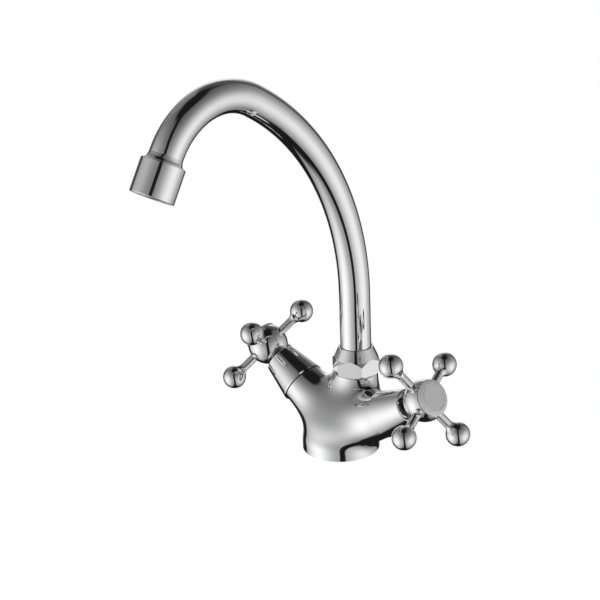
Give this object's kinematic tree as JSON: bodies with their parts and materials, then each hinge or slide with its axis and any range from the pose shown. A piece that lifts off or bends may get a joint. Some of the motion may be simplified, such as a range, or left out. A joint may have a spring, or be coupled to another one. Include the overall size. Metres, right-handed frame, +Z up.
{
  "type": "two handle kitchen faucet",
  "caption": "Deck-mounted kitchen faucet with a high curved swivel spout, angled side valves and ball-ended cross handles.",
  "frame": {"origin": "middle of the round base, on its underside, where the faucet stands on the deck", "axes": "+Z up from the deck, -Y the way the spout points over the sink, +X towards the cold handle"},
  "size_m": [0.1612, 0.1755, 0.2351],
  "materials": {
    "chrome_casting": "bright chrome plate on cast brass, mirror polished",
    "chrome_nut": "bright chrome plate on a turned brass nut",
    "chrome_tube": "bright chrome plate on drawn brass tube",
    "chrome_outlet": "bright chrome plate on turned brass",
    "chrome_shroud": "bright chrome plate on turned brass",
    "chrome_handle": "bright chrome plate on cast zinc",
    "chrome_cap": "satin chrome plate, bare of any mark",
    "brass": "plain turned brass",
    "valve_nickel": "dull nickel plate on turned brass",
    "steel": "stainless steel",
    "rubber": "black rubber",
    "slide_plastic": "natural acetal",
    "aerator_plastic": "light grey acetal",
    "disc_ceramic": "white ceramic, lapped"
  },
  "bodies": {
    "body": {"body_casting": "chrome_casting", "base_gasket": "rubber", "neck_grub_screw": "steel", "spout_nut": "chrome_nut", "lower_slide_washer": "slide_plastic", "upper_slide_washer": "slide_plastic", "hot_seat_seal": "rubber", "hot_fixed_disc": "disc_ceramic", "hot_cartridge": "valve_nickel", "hot_shroud": "chrome_shroud", "cold_seat_seal": "rubber", "cold_fixed_disc": "disc_ceramic", "cold_cartridge": "valve_nickel", "cold_shroud": "chrome_shroud"},
    "spout": {"spout_tube": "chrome_tube", "spout_stem": "brass", "spout_stem_seals": "rubber", "outlet_fitting": "chrome_outlet", "aerator_housing": "chrome_outlet", "aerator_gasket": "rubber", "aerator_insert": "aerator_plastic", "aerator_screen": "steel"},
    "hot_handle": {"hot_cross_handle": "chrome_handle", "hot_spindle": "valve_nickel", "hot_spindle_seal": "rubber", "hot_spindle_clip": "steel", "hot_turning_disc": "disc_ceramic", "hot_handle_screw": "steel", "hot_index_cap": "chrome_cap"},
    "cold_handle": {"cold_cross_handle": "chrome_handle", "cold_spindle": "valve_nickel", "cold_spindle_seal": "rubber", "cold_spindle_clip": "steel", "cold_turning_disc": "disc_ceramic", "cold_handle_screw": "steel", "cold_index_cap": "chrome_cap"}
  },
  "joints": [
    {"name": "spout_swivel", "type": "hinge", "parent": "body", "child": "spout", "pos_m": [0, 0.0144, 0.05], "axis": [0, 0, 1], "continuous": true},
    {"name": "hot_valve_turn", "type": "hinge", "parent": "body", "child": "hot_handle", "pos_m": [0, 0.0033, 0.0094], "axis": [-0.8616, 0, 0.5075], "range_deg": [0, 180]},
    {"name": "cold_valve_turn", "type": "hinge", "parent": "body", "child": "cold_handle", "pos_m": [0, 0.0033, 0.0094], "axis": [0.8616, 0, 0.5075], "range_deg": [0, 180]}
  ]
}
